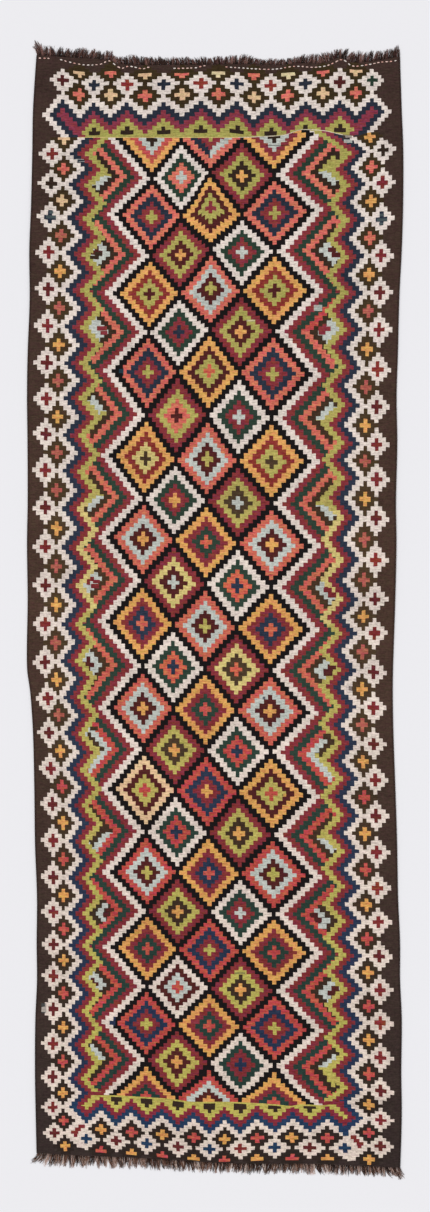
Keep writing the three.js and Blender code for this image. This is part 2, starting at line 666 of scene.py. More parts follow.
def smooth_line(rows, along, column):
    """A smooth line through the rows of a table, read at any place along it."""
    rows = sorted(rows, key=lambda row: row[along])
    places = [float(row[along]) for row in rows]
    values = [float(row[column]) for row in rows]
    last = len(rows) - 1
    slopes = [0.0] * len(rows)
    for i in range(1, last):
        slopes[i] = (values[i + 1] - values[i - 1]) / (places[i + 1] - places[i - 1])
    first_rise = (values[1] - values[0]) / (places[1] - places[0])
    last_rise = (values[last] - values[last - 1]) / (places[last] - places[last - 1])
    slopes[0] = (3 * first_rise - slopes[1]) / 2
    slopes[last] = (3 * last_rise - slopes[last - 1]) / 2

    def read(place):
        if place <= places[0]:
            return values[0] + slopes[0] * (place - places[0])
        if place >= places[last]:
            return values[last] + slopes[last] * (place - places[last])
        i = 0
        while places[i + 1] < place:
            i += 1
        span = places[i + 1] - places[i]
        t = (place - places[i]) / span
        return (
            values[i] * (1 + 2 * t) * (1 - t) ** 2
            + slopes[i] * span * t * (1 - t) ** 2
            + values[i + 1] * t * t * (3 - 2 * t)
            + slopes[i + 1] * span * t * t * (t - 1)
        )

    return read


left_of = smooth_line(SELVEDGES, "y", "left")
right_of = smooth_line(SELVEDGES, "y", "right")
far_end_at = smooth_line(FAR_END, "x", "y")
near_end_at = smooth_line(NEAR_END, "x", "y")
far_edge_at = smooth_line(FAR_EDGE, "x", "y")
far_line_at = smooth_line(FAR_LINE, "x", "y")
near_line_at = smooth_line(NEAR_LINE, "x", "y")
stitches_at = smooth_line(STITCH_LINE, "x", "y")


# A place on the cloth is found in rounds, each nearer to it than the last.
ROUGH_ENDS = (-1650, 1640)
PLACING_ROUNDS = 3
READING_ROUNDS = 4

OUTLINE_STEPS = 200


def between(low, high, share):
    return low + (high - low) * share


def limited(value, low, high):
    return max(low, min(high, value))


def cloth_point(across, along, far_at):
    """The place on the cloth at these shares of its width and length."""
    y = between(*ROUGH_ENDS, along)
    for _ in range(PLACING_ROUNDS):
        x = between(-left_of(y), right_of(y), across)
        y = between(near_end_at(x), far_at(x), along)
    return x, y


def cloth_shift():
    """How far the tables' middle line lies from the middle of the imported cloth."""
    shares = [step / OUTLINE_STEPS for step in range(OUTLINE_STEPS + 1)]
    edge = [cloth_point(side, share, far_end_at) for side in (0, 1) for share in shares]
    edge += [cloth_point(share, end, far_end_at) for end in (0, 1) for share in shares]
    low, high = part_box("woven_ground")
    across = [x for x, _ in edge]
    along = [y for _, y in edge]
    return Vector((
        (low.x + high.x) / 2 - MM * (min(across) + max(across)) / 2,
        (low.y + high.y) / 2 - MM * (min(along) + max(along)) / 2,
        low.z,
    ))


SHIFT = cloth_shift()


def placed(x, y, z):
    """A place of the tables, in millimetres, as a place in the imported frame."""
    return SHIFT + Vector((x, y, z)) * MM


# ---- Reading the charts ------------------------------------------------------------

field_row_at = smooth_line(FIELD_ROWS, "y", "row")
field_rise = smooth_line(FIELD_ROWS, "row", "rise")
field_left = smooth_line(FIELD_ROWS, "row", "left")
field_right = smooth_line(FIELD_ROWS, "row", "right")
steps_at_share = smooth_line(COLUMN_SHARES, "share", "steps")
third_column_lift = smooth_line(THIRD_COLUMN, "row", "lift")
third_column_shift = smooth_line(THIRD_COLUMN, "row", "shift")
left_tip_lift = smooth_line(ZIGZAG_TIPS, "row", "left")
right_tip_lift = smooth_line(ZIGZAG_TIPS, "row", "right")


def near_third_column(across):
    """1 on the third column's middle line, and less away from it."""
    return math.exp(-((across - FIELD_STEPS / 2) / THIRD_COLUMN_REACH) ** 2)


def field_lift(across, row):
    """How far the field's pattern stands above its row here."""
    lift = third_column_lift(row) * near_third_column(across)
    outside = max(-across, across - FIELD_STEPS)
    if outside > 0:
        tip_lift = left_tip_lift if across < 0 else right_tip_lift
        lift += tip_lift(row) * min(outside / ZIGZAG_TIP_STEPS, ZIGZAG_TIP_LIMIT)
    return lift


def field_steps(x, y):
    """Steps across from the first column and down from the first row."""
    row = field_row_at(y)
    across = FIELD_STEPS / 2
    for _ in range(READING_ROUNDS):
        left, right = field_left(row), field_right(row)
        at = x - third_column_shift(row) * near_third_column(across)
        share = (at - left) / (right - left)
        if share < 0:
            across = (x - left) / LEFT_STEP
        elif share > 1:
            across = FIELD_STEPS + (x - right) / RIGHT_STEP
        else:
            across = steps_at_share(share)
        row = field_row_at(y - field_rise(row) * (share - 0.5) - field_lift(across, row))
    return across, row * ROW_STEPS


class BorderChart:
    """A border's crosses, and how many steps it has to its last white diamond."""

    def __init__(self, border, crosses, cross_places):
        self.length = math.floor(border[-1]["diamond"]) * BORDER_STEPS
        self.crosses = {kind: dyes.split() for kind, dyes in crosses.items()}
        self.cross_places = cross_places

    def cross_dye(self, x, y):
        """The dye of the cross that this place of the cloth is nearest to."""
        depth, along = self.steps(x, y)
        ranked = []
        for kind, (cross_depth, offset) in self.cross_places.items():
            dyes = self.crosses[kind]
            number = limited(round(along / BORDER_STEPS - offset), 0, len(dyes) - 1)
            away = abs(depth - cross_depth) + abs(along - (number + offset) * BORDER_STEPS)
            ranked.append((away, dyes[number]))
        return min(ranked)[1]


class SideChart(BorderChart):
    """A side border: steps inwards from its line of white diamonds, and down it."""

    def __init__(self, border, crosses, inwards):
        super().__init__(border, crosses, SIDE_CROSSES)
        self.line = smooth_line(border, "y", "x")
        self.diamond_at = smooth_line(border, "y", "diamond")
        self.step = smooth_line(border, "y", "step")
        self.lean = smooth_line(border, "y", "lean")
        self.inwards = inwards

    def steps(self, x, y):
        depth = (x - self.line(y)) * self.inwards / self.step(y)
        return depth, self.diamond_at(y - self.lean(y) * depth) * BORDER_STEPS


class EndChart(BorderChart):
    """An end border: steps in from its row of white diamonds, and along it."""

    def __init__(self, border, crosses, inwards):
        super().__init__(border, crosses, END_CROSSES)
        self.line = smooth_line(border, "x", "y")
        self.diamond_at = smooth_line(border, "x", "diamond")
        self.step = smooth_line(border, "x", "step")
        self.outward = smooth_line(border, "x", "outward")
        self.inwards = inwards

    def steps(self, x, y):
        inside = (y - self.line(x)) * self.inwards
        depth = inside / (self.step(x) if inside > 0 else self.outward(x))
        return depth, self.diamond_at(x) * BORDER_STEPS


CHARTS = {
    "left": SideChart(LEFT_BORDER, CROSSES["left"], 1),
    "right": SideChart(RIGHT_BORDER, CROSSES["right"], -1),
    "far": EndChart(FAR_BORDER, CROSSES["far"], -1),
    "near": EndChart(NEAR_BORDER, CROSSES["near"], 1),
}
SIDE_LENGTH = CHARTS["left"].length


def edge_distances(x, y, end):
    """Millimetres beyond the end's parting thread, and in from the selvedge."""
    beyond = y - far_line_at(x) if end == "far" else near_line_at(x) - y
    return beyond, min(x + left_of(y), right_of(y) - x)


# ---- Dyes ------------------------------------------------------------------------

RINGS = ("outer", "second", "inner", "centre")
DIAMOND_RINGS = [f"{kind} {ring}" for kind in ("Odd", "Even") for ring in RINGS]
FIELD_BANDS = ("green", "crimson", "ivory", "black")
BORDER_BANDS = ("ivory", "navy", "crimson", "olive")
SINGLE_DYES = (
    "ivory", "navy", "crimson", "olive", "green", "black", "brown", "ground", "umber",
)


def linear(text):
    """A hex colour as the linear numbers that Blender mixes in."""
    channels = [int(text[i:i + 2], 16) / 255 for i in (1, 3, 5)]
    return [((c + 0.055) / 1.055) ** 2.4 if c > 0.04045 else c / 12.92 for c in channels] + [1.0]


DYE_STOPS = {name: [linear(stop) for stop in text.split()] for name, text in DYES.items()}


def dyed(name, x, y):
    """The colour of a dye at this place of the cloth."""
    for lot in OTHER_LOTS:
        if lot["dye"] == name and covers(lot, x, y):
            name = lot["instead"]
            break
    stops = DYE_STOPS[name]
    place = limited(0.5 - y / (2 * far_end_at(0)), 0.0, 1.0) * (len(stops) - 1)
    before = math.floor(place)
    after = min(before + 1, len(stops) - 1)
    return [between(a, b, place - before) for a, b in zip(stops[before], stops[after])]


def covers(patch, x, y):
    """Whether this place of the cloth lies in the patch."""
    return abs(x - patch["x"]) < patch["wide"] / 2 and abs(y - patch["y"]) < patch["high"] / 2


def odd_dyes(across, down):
    """The dyes of the nearest diamond in the first, third and fifth columns."""
    column = limited(round(across / (2 * COLUMN_STEPS)), 0, len(ODD_COLUMNS) - 1)
    diamonds = DIAMONDS[ODD_COLUMNS[column]]
    return diamonds[limited(round(down / ROW_STEPS), 0, len(diamonds) - 1)].split()


def even_dyes(across, down):
    """The same for the columns between, and for the chevrons outside them."""
    row = limited(round(down / ROW_STEPS - 0.5), 0, len(CHEVRONS) - 1)
    if -COLUMN_REACH < across < FIELD_STEPS + COLUMN_REACH:
        column = round((across - COLUMN_STEPS) / (2 * COLUMN_STEPS))
        column = limited(column, 0, len(EVEN_COLUMNS) - 1)
        return DIAMONDS[EVEN_COLUMNS[column]][row].split()
    own = LEFT_CHEVRONS if across < 0 else RIGHT_CHEVRONS
    chevron = own.get(row, CHEVRONS[row])
    arm = "upper" if down < (row + 0.5) * ROW_STEPS else "lower"
    return chevron[arm].split() + [chevron["spot"]]


def face_dyes(x, y, side, end):
    """The dyes that this face of the cloth may show, by the place they fill."""
    across, down = field_steps(x, y)
    dyes = {f"Odd {ring}": dye for ring, dye in zip(RINGS, odd_dyes(across, down))}
    dyes.update({f"Even {ring}": dye for ring, dye in zip(RINGS, even_dyes(across, down))})
    dyes["Side cross"] = CHARTS[side].cross_dye(x, y)
    dyes["End cross"] = CHARTS[end].cross_dye(x, y)
    dyes.update({name: name for name in SINGLE_DYES})
    return dyes


# ---- The cloth ---------------------------------------------------------------------

FACES_ACROSS = 96
FACES_ALONG = 284
SHEET_CREASE = 40  # degrees
# The bake map lays the near half of the cloth beside the far half.
BAKE_MARGIN = 0.003
BAKE_WIDTH = 0.494
BAKE_HEIGHT = 0.994
RIPPLES = table(
    "height across along turn",
    (0.9, 2.1, 9.0, 0.4),
    (0.5, 5.3, 23.0, 2.0),
    (0.4, 11.0, 41.0, 4.1),
)


def ripple(across, along):
    """Height of the cloth's gentle waves over the floor."""
    height = 0.0
    for wave in RIPPLES:
        angle = wave["across"] * across + wave["along"] * along + wave["turn"]
        height += wave["height"] * (1 + math.sin(angle)) / 2
    return height


def pick_up(piece):
    """Selects one piece alone, for the operators that follow."""
    bpy.ops.object.select_all(action="DESELECT")
    piece.select_set(True)
    bpy.context.view_layer.objects.active = piece


def lay_out(name, data):
    """A new object of this mesh, lamp or lens, in the scene."""
    made = bpy.data.objects.new(name, data)
    bpy.context.collection.objects.link(made)
    return made


def weave_sheet():
    """The cloth's face as one sheet of quads, with its charts and dyes on it."""
    places = []
    shares = []
    for row in range(FACES_ALONG + 1):
        for column in range(FACES_ACROSS + 1):
            share = (column / FACES_ACROSS, row / FACES_ALONG)
            shares.append(share)
            places.append(cloth_point(*share, far_edge_at))
    vertices = [
        placed(x, y, CLOTH_THICKNESS + ripple(*share))
        for (x, y), share in zip(places, shares)
    ]
    width = FACES_ACROSS + 1
    faces = []
    for row in range(FACES_ALONG):
        for column in range(FACES_ACROSS):
            corner = row * width + column
            faces.append((corner, corner + 1, corner + width + 1, corner + width))
    mesh = bpy.data.meshes.new("kilim_ground")
    mesh.from_pydata([tuple(v) for v in vertices], [], faces)
    chart_cloth(mesh, places, shares, faces)
    return lay_out("kilim_ground", mesh)


def chart_cloth(mesh, places, shares, faces):
    """Writes the charts as UV maps and the dyes as face colours."""
    field = [field_steps(x, y) for x, y in places]
    borders = {name: [chart.steps(x, y) for x, y in places] for name, chart in CHARTS.items()}
    maps = {name: [] for name in ("FieldChart", "SideChart", "EndChart", "Edges", "OFBake")}
    colours = {}
    for face in faces:
        x = sum(places[i][0] for i in face) / len(face)
        y = sum(places[i][1] for i in face) / len(face)
        side = "left" if x < 0 else "right"
        end = "far" if y > 0 else "near"
        for name, dye in face_dyes(x, y, side, end).items():
            colours.setdefault(name, []).extend(dyed(dye, x, y))
        half = 0 if sum(shares[i][1] for i in face) / len(face) < 0.5 else 1
        for i in face:
            maps["FieldChart"] += field[i]
            maps["SideChart"] += borders[side][i]
            maps["EndChart"] += borders[end][i]
            maps["Edges"] += edge_distances(*places[i], end)
            maps["OFBake"] += (
                BAKE_MARGIN + 0.5 * half + BAKE_WIDTH * shares[i][0],
                BAKE_MARGIN + BAKE_HEIGHT * (2 * shares[i][1] - half),
            )
    for name, values in maps.items():
        mesh.uv_layers.new(name=name).data.foreach_set("uv", values)
    for name, values in colours.items():
        mesh.attributes.new(name, "FLOAT_COLOR", "FACE").data.foreach_set("color", values)


def thicken(cloth, thickness):
    """Gives the sheet its back, a thickness below its face."""
    pick_up(cloth)
    solid = cloth.modifiers.new("thickness", "SOLIDIFY")
    solid.thickness = thickness * MM
    solid.offset = -1
    bpy.ops.object.modifier_apply(modifier=solid.name)
    bpy.ops.object.shade_smooth_by_angle(angle=math.radians(SHEET_CREASE))


# ---- Shader arithmetic ---------------------------------------------------------------
# Steps are rounded to whole numbers, so they are compared with numbers halfway.


class Reading:
    """A number read over a surface. Arithmetic on it adds Math nodes."""

    def __init__(self, tree, socket):
        self.tree = tree
        self.socket = socket

    def math(self, operation, *values):
        node = self.tree.nodes.new("ShaderNodeMath")
        node.operation = operation
        for place, value in enumerate(values):
            plug(self.tree, value, node.inputs[place])
        return Reading(self.tree, node.outputs[0])

    def __add__(self, other):
        return self.math("ADD", self, other)

    def __sub__(self, other):
        return self.math("SUBTRACT", self, other)

    def __rsub__(self, other):
        return self.math("SUBTRACT", other, self)

    def __mul__(self, other):
        return self.math("MULTIPLY", self, other)

    def size(self):
        return self.math("ABSOLUTE", self)

    def rounded(self):
        return self.math("ROUND", self)

    def sine(self):
        return self.math("SINE", self)

    def over(self, limit):
        return self.math("GREATER_THAN", self, limit)

    def under(self, limit):
        return self.math("LESS_THAN", self, limit)

    def least(self, other):
        return self.math("MINIMUM", self, other)

    def most(self, other):
        return self.math("MAXIMUM", self, other)

    def from_nearest(self, pitch):
        """How far this is from the nearest whole multiple of the pitch."""
        return self - (self * (1 / pitch)).rounded() * pitch

    def either(self, no, yes):
        """One number where this mask is 0 and another where it is 1."""
        return self * (yes - no) + no


def plug(tree, value, socket):
    """Links a reading or a socket to an input, or sets the input's own value."""
    if isinstance(value, Reading):
        tree.links.new(value.socket, socket)
    elif isinstance(value, bpy.types.NodeSocket):
        tree.links.new(value, socket)
    else:
        socket.default_value = value


def mixed(tree, share, base, over, blend="MIX"):
    """The base colour with another over it by a share."""
    node = tree.nodes.new("ShaderNodeMix")
    node.data_type = "RGBA"
    node.blend_type = blend
    plug(tree, share, node.inputs["Factor"])
    plug(tree, base, node.inputs[6])
    plug(tree, over, node.inputs[7])
    return node.outputs[2]


def ringed(tree, distance, colours):
    """The centre and the rings round it: the last colour is beyond them."""
    shown = colours[-1]
    for ring in reversed(range(len(colours) - 1)):
        reach = RING_STEPS * ring + CENTRE_REACH
        shown = mixed(tree, distance.under(reach), shown, colours[ring])
    return shown


# The random grains: how quickly each changes across and along, the layer of the
# noise that it is read from, and its detail.
GRAINS = {
    "sideways": (0.45, 0.2, 0.0, 1.0),
    "upwards": (0.22, 0.5, 7.3, 1.0),
    "lots": (0.06, 0.22, 1.7, 2.0),
    "picks": (0.045, 0.3, 5.1, 2.0),
    "fading": (0.004, 0.012, 9.4, 2.0),
    "mottle": (0.17, 0.23, 3.3, 3.0),
    "wander": (0.05, 0.02, 2.2, 1.0),
    "fuzz": (1.1, 1.6, 4.4, 2.0),
    "fibres": (2.5, 1.2, 0.0, 2.0),
}


def grain(tree, name, across, along, lot=0.0):
    """One of the random grains at this place: a soft reading from 0 to 1."""
    across_rate, along_rate, layer, detail = GRAINS[name]
    place = tree.nodes.new("ShaderNodeCombineXYZ")
    readings = (across * across_rate, along * along_rate, lot + layer)
    for socket, value in zip(place.inputs, readings):
        plug(tree, value, socket)
    node = tree.nodes.new("ShaderNodeTexNoise")
    node.inputs["Scale"].default_value = 1.0
    node.inputs["Detail"].default_value = detail
    tree.links.new(place.outputs[0], node.inputs["Vector"])
    return Reading(tree, node.outputs["Fac"])


NUMBER = "NodeSocketFloat"
COLOUR = "NodeSocketColor"


def start_group(name, numbers, colours, outputs):
    """A node group with these inputs and outputs: its tree, readings and exit."""
    tree = bpy.data.node_groups.new(name, "ShaderNodeTree")
    for label in numbers:
        tree.interface.new_socket(label, in_out="INPUT", socket_type=NUMBER)
    for label in colours:
        tree.interface.new_socket(label, in_out="INPUT", socket_type=COLOUR)
    for label in outputs:
        kind = COLOUR if label == "Colour" else NUMBER
        tree.interface.new_socket(label, in_out="OUTPUT", socket_type=kind)
    entry = tree.nodes.new("NodeGroupInput")
    leave = tree.nodes.new("NodeGroupOutput")
    readings = {label: Reading(tree, entry.outputs[label]) for label in [*numbers, *colours]}
    return tree, readings, leave


def place_group(tree, group, **values):
    """Puts a group in a tree. Its inputs are named with _ for each space."""
    node = tree.nodes.new("ShaderNodeGroup")
    node.node_tree = group
    for name, value in values.items():
        plug(tree, value, node.inputs[name.replace("_", " ")])
    return {output.name: Reading(tree, output) for output in node.outputs}


# ---- Shared effects ----------------------------------------------------------------------

CROSS_REACH = 1.5  # from a cross's middle to the ends of its arms
AROUND_REACH = 3.5  # and to the tips of the diamond around it
FIRST_BAND = 2.5  # where a border's zigzag bands start, each two steps wide
ZIGZAG_BANDS = ("Ivory", "Navy", "Crimson", "Olive", "Beyond")
CORNER_PUSH = 9  # moves the crosses on dark out of the corners

# How far the threads of one dye lot stray from its middle.
PICK_DEPTH = 1.1
MOTTLE_DEPTH = 1.1
FADING_DEPTH = 0.5
PICK_PALING = 0.15
SATURATION = 1.02
LIGHTNESS = 0.95

# The weave's relief as shares of its height, and the painted shade between threads: darker in
# the valleys, with a little random tone from the fuzz.
RIB_RELIEF = 0.3
PICK_RELIEF = 0.2
FUZZ_RELIEF = 0.5
WANDER_MM = 3.0
DEEPEST_SHADE = 0.85
RELIEF_SHADE = 0.16
FUZZ_SHADE = 0.1


def uneven_beating_group():
    """Moves a chart's steps a little, as a hand-beaten weft does."""
    tree, put, leave = start_group(
        "Uneven beating", ["Across", "Along", "Lot", "Drift across", "Drift along"], [],
        ["Across", "Along"],
    )
    across, along, lot = put["Across"], put["Along"], put["Lot"]
    sideways = grain(tree, "sideways", across, along, lot)
    upwards = grain(tree, "upwards", across, along, lot)
    plug(tree, across + (sideways - 0.5) * put["Drift across"], leave.inputs["Across"])
    plug(tree, along + (upwards - 0.5) * put["Drift along"], leave.inputs["Along"])
    return tree


def stepped_diamonds_group():
    """The field: ringed diamonds in five columns, and chevrons outside them."""
    bands = [name.title() for name in FIELD_BANDS]
    tree, put, leave = start_group(
        "Stepped diamonds", ["Across", "Down"], DIAMOND_RINGS + bands + ["Olive"], ["Colour"],
    )
    column = put["Across"].rounded()
    row = put["Down"].rounded()
    inward = column.least(FIELD_STEPS - column)
    between_rows = (row - ROW_STEPS / 2).from_nearest(ROW_STEPS).size()
    odd = column.from_nearest(2 * COLUMN_STEPS).size() + row.from_nearest(ROW_STEPS).size()
    even = (column - COLUMN_STEPS).from_nearest(2 * COLUMN_STEPS).size() + between_rows
    in_odd = odd.under(DIAMOND_REACH) * inward.over(-DIAMOND_REACH)
    in_even = even.under(DIAMOND_REACH) * inward.over(-0.5) * (1 - in_odd)
    distance = odd + (even - odd) * in_even
    dyes = [
        mixed(tree, in_even, put[f"Odd {ring}"], put[f"Even {ring}"])
        for ring in reversed(RINGS)
    ]
    diamonds = ringed(tree, distance, dyes + [put["Black"]])
    chevron = (inward + CHEVRON_MIDDLE).size() + between_rows
    spot_outwards = [put[f"Even {ring}"] for ring in reversed(RINGS)]
    chevrons = ringed(tree, chevron, spot_outwards + [put[band] for band in bands])
    chevrons = mixed(tree, inward.under(-CHEVRON_REACH), chevrons, put["Olive"])
    plug(tree, mixed(tree, in_odd + in_even, chevrons, diamonds), leave.inputs["Colour"])
    return tree


def cross_border_group():
    """A border: white diamonds with crosses, then zigzag bands towards the field.
    "Past" counts the steps beyond its first or last diamond."""
    tree, put, leave = start_group(
        "Cross border",
        ["Depth", "Along", "Length", "Cap", "Corner", "Half base"],
        ["Cross", "Gap", "Ground", "Ivory", "Navy", "Crimson", "Olive", "Beyond"],
        ["Colour", "Band", "Past", "From diamond"],
    )
    depth = put["Depth"].rounded()
    along = put["Along"].rounded()
    past = (0 - along).most(along - put["Length"])
    fold = along.from_nearest(BORDER_STEPS).size().most(past)
    band = (depth - fold).least(put["Cap"])
    to_gap = (BORDER_STEPS / 2 - fold).size()
    on_white = depth.size() + fold
    corner = past.over(0.5) * put["Corner"] * CORNER_PUSH
    on_dark = (depth - DARK_DEPTH).size() + to_gap + corner
    half_row = (put["Depth"] - put["Half base"]).rounded()
    half = half_row.over(-0.5) * (half_row + to_gap).under(CROSS_REACH) * past.under(0.5)
    around_half = (half_row.size() + to_gap + corner).under(AROUND_REACH)
    around_dark = on_dark.under(AROUND_REACH).most(around_half)
    shown = mixed(tree, around_dark, put["Ground"], put["Gap"])
    shown = mixed(tree, on_dark.under(CROSS_REACH).most(half), shown, put["Cross"])
    shown = mixed(tree, on_white.under(AROUND_REACH), shown, put["Ivory"])
    shown = mixed(tree, on_white.under(CROSS_REACH), shown, put["Cross"])
    for number, dye in enumerate(ZIGZAG_BANDS):
        shown = mixed(tree, band.over(FIRST_BAND + RING_STEPS * number), shown, put[dye])
    plug(tree, shown, leave.inputs["Colour"])
    plug(tree, band, leave.inputs["Band"])
    plug(tree, past, leave.inputs["Past"])
    plug(tree, on_white, leave.inputs["From diamond"])
    return tree


def hand_dyed_group():
    """Wool dyed in small lots: its hue, depth and fading vary thread by thread."""
    tree, put, leave = start_group(
        "Hand-dyed wool", ["Across", "Along", "Hue spread", "Depth spread"], ["Colour"],
        ["Colour"],
    )
    across, along = put["Across"], put["Along"]
    lots, picks, fading, mottle = (
        grain(tree, name, across, along) for name in ("lots", "picks", "fading", "mottle")
    )
    hue = (lots - 0.5) * put["Hue spread"] + 0.5
    depth = (picks - 0.5) * PICK_DEPTH + (mottle - 0.5) * MOTTLE_DEPTH
    depth = depth + (fading - 0.5) * FADING_DEPTH
    saturation = SATURATION - picks * put["Depth spread"] * PICK_PALING
    node = tree.nodes.new("ShaderNodeHueSaturation")
    plug(tree, hue, node.inputs["Hue"])
    plug(tree, saturation, node.inputs["Saturation"])
    plug(tree, depth * put["Depth spread"] + LIGHTNESS, node.inputs["Value"])
    plug(tree, put["Colour"], node.inputs["Color"])
    plug(tree, node.outputs["Color"], leave.inputs["Colour"])
    return tree


def kilim_weave_group():
    """Weft packed over ribs of warp. Shade is painted shade, about 1 on a thread and less
    between, with some random tone from the fuzz.
    """
    tree, put, leave = start_group(
        "Kilim weave", ["Across", "Along", "Rib", "Pick"], [], ["Height", "Shade"],
    )
    across, along = put["Across"], put["Along"]
    wander = (grain(tree, "wander", across, along) - 0.5) * WANDER_MM
    turn = 2 * math.pi
    rib = ((across + wander) * turn * put["Rib"]).sine()
    pick = ((along + wander * 0.5) * turn * put["Pick"]).sine()
    height = rib * RIB_RELIEF + pick * PICK_RELIEF + 0.5
    fuzz = grain(tree, "fuzz", across, along)
    # Painted shade: darker where the weave's relief is low, plus a little random tone.
    shade = height * RELIEF_SHADE + fuzz * FUZZ_SHADE + DEEPEST_SHADE
    plug(tree, height + (fuzz - 0.5) * FUZZ_RELIEF, leave.inputs["Height"])
    plug(tree, shade, leave.inputs["Shade"])
    return tree


# ---- Materials ---------------------------------------------------------------------------

FIBRE_ROUGHNESS = 0.92
FIBRE_SPECULAR = 0.15
RIBS_PER_MM = 1 / 3.8
PICKS_PER_MM = 1 / 1.35
WEAVE_RELIEF = 0.35
STRAND_RELIEF = 0.2
STRAND_GRAIN = (3, 0.6)  # a strand's wool varies quickly across it, slowly along it
KILIM_SPREAD = {"Hue_spread": 0.1, "Depth_spread": 0.9}
STRAND_SPREAD = {"Hue_spread": 0.04, "Depth_spread": 0.6}
BEATING = {"Drift_across": 0.55, "Drift_along": 0.9}
BEATING_LOTS = {"FieldChart": 0.0, "SideChart": 3.1, "EndChart": 6.2}

SELVEDGE_WIDTH = 6.0
SELVEDGE_SHADE = 0.35

# In steps. A cap stops a border's bands short of the next border, and a half base is
# where the crosses that are cut by the woven end have their middles.
UNCAPPED = 99.0
FAR_CAP = 16
NO_HALVES = 99.0
HALF_BASES = {"far": -3.0, "near": -3.5}
TRIANGLE_REACH = 1.5
TRIANGLE_TOP = 12.5
ARM_END = 4.5  # past the last diamond, where a side's bands stop

# The threads that part field and ends: half their length and width, and the
# place across from which the far one is a paler yarn.
FAR_THREAD = {"reach": 410, "wide": 1.0}
NEAR_THREAD = {"reach": 362, "wide": 2.3}
PALE_THREAD_START = 70


def new_material(name, roughness):
    """A material with a Principled shader, its tree and that shader."""
    material = bpy.data.materials.new(name)
    material.use_nodes = True
    tree = material.node_tree
    shader = next(node for node in tree.nodes if node.type == "BSDF_PRINCIPLED")
    shader.inputs["Roughness"].default_value = roughness
    shader.inputs["Specular IOR Level"].default_value = FIBRE_SPECULAR
    return material, tree, shader


def map_steps(tree, name):
    """The two readings of a chart's UV map."""
    chart = tree.nodes.new("ShaderNodeUVMap")
    chart.uv_map = name
    split = tree.nodes.new("ShaderNodeSeparateXYZ")
    tree.links.new(chart.outputs[0], split.inputs[0])
    return Reading(tree, split.outputs[0]), Reading(tree, split.outputs[1])


def face_dye(tree, name):
    """The colour that each face of the mesh has under this name."""
    node = tree.nodes.new("ShaderNodeAttribute")
    node.attribute_name = name
    return node.outputs["Color"]


def object_mm(tree):
    """Object coordinates as millimetres across and along."""
    place = tree.nodes.new("ShaderNodeTexCoord")
    split = tree.nodes.new("ShaderNodeSeparateXYZ")
    tree.links.new(place.outputs["Object"], split.inputs[0])
    return [Reading(tree, split.outputs[i]) * (1 / MM) for i in (0, 1)]


def add_bump(tree, shader, height, distance):
    """Fine relief on a material, as deep as the distance in millimetres."""
    bump = tree.nodes.new("ShaderNodeBump")
    bump.inputs["Strength"].default_value = 1.0
    bump.inputs["Distance"].default_value = distance * MM
    plug(tree, height, bump.inputs["Height"])
    tree.links.new(bump.outputs["Normal"], shader.inputs["Normal"])


def beaten_chart(tree, groups, name):
    """A chart's steps, moved a little by the uneven beating."""
    u, v = map_steps(tree, name)
    beaten = place_group(
        tree, groups["beating"], Across=u, Along=v, Lot=BEATING_LOTS[name], **BEATING,
    )
    return beaten["Across"], beaten["Along"]


def kilim_colour(tree, groups, across, along):
    """The charted colours of the whole cloth, before dye lots, fading and the weave's painted
    shade.
    """
    wool = {name: face_dye(tree, name) for name in SINGLE_DYES}
    field_bands = {name.title(): wool[name] for name in FIELD_BANDS}
    rings = {ring.replace(" ", "_"): face_dye(tree, ring) for ring in DIAMOND_RINGS}
    border_bands = {name.title(): wool[name] for name in BORDER_BANDS}
    is_far = along.over(0)
    columns, rows = beaten_chart(tree, groups, "FieldChart")
    field = place_group(
        tree, groups["diamonds"], Across=columns, Down=rows, Olive=wool["olive"],
        **field_bands, **rings,
    )
    inwards, down = beaten_chart(tree, groups, "SideChart")
    side = place_group(
        tree, groups["border"], Depth=inwards, Along=down, Length=SIDE_LENGTH,
        Cap=UNCAPPED, Corner=0.0, Half_base=NO_HALVES, Cross=face_dye(tree, "Side cross"),
        Gap=wool["ground"], Ground=wool["brown"], Beyond=field["Colour"], **border_bands,
    )
    depth, along_end = beaten_chart(tree, groups, "EndChart")
    length = is_far.either(CHARTS["near"].length, CHARTS["far"].length)
    from_corner = along_end.rounded().least(length - along_end.rounded())
    far_cap = from_corner - depth.rounded() + FAR_CAP
    end = place_group(
        tree, groups["border"], Depth=depth, Along=along_end, Length=length,
        Cap=far_cap * is_far + side["Band"] * (1 - is_far), Corner=1.0,
        Half_base=is_far.either(HALF_BASES["near"], HALF_BASES["far"]),
        Cross=face_dye(tree, "End cross"), Gap=wool["ground"], Ground=wool["brown"],
        Beyond=end_triangles(tree, wool, is_far, depth, along_end), **border_bands,
    )
    beyond, from_selvedge = map_steps(tree, "Edges")
    side_colour, end_colour = near_corner_colours(tree, wool, is_far, side, end)
    reaches_in = side["Band"].over(FIRST_BAND).most(end["Past"].under(0.5))
    in_end = beyond.over(0) * is_far.most(reaches_in)
    shown = mixed(tree, in_end, side_colour, end_colour)
    shown = parting_threads(tree, shown, across, beyond, is_far)
    for mark in HEARTS + MARKS:
        colour = dyed(mark["dye"], mark["x"], mark["y"])
        share = mark_mask(across, along, mark) * mark.get("strength", 1.0)
        shown = mixed(tree, share, shown, colour)
    selvedge = from_selvedge.under(SELVEDGE_WIDTH) * SELVEDGE_SHADE
    return mixed(tree, selvedge, shown, wool["black"])


def end_triangles(tree, wool, is_far, depth, along):
    """The umber triangles in the olive band: three steps wide at the most, and
    at the far end only two steps high."""
    middle = along.rounded().from_nearest(BORDER_STEPS).size().under(TRIANGLE_REACH)
    low = 1 - is_far * depth.rounded().over(TRIANGLE_TOP)
    return mixed(tree, middle * low, wool["olive"], wool["umber"])


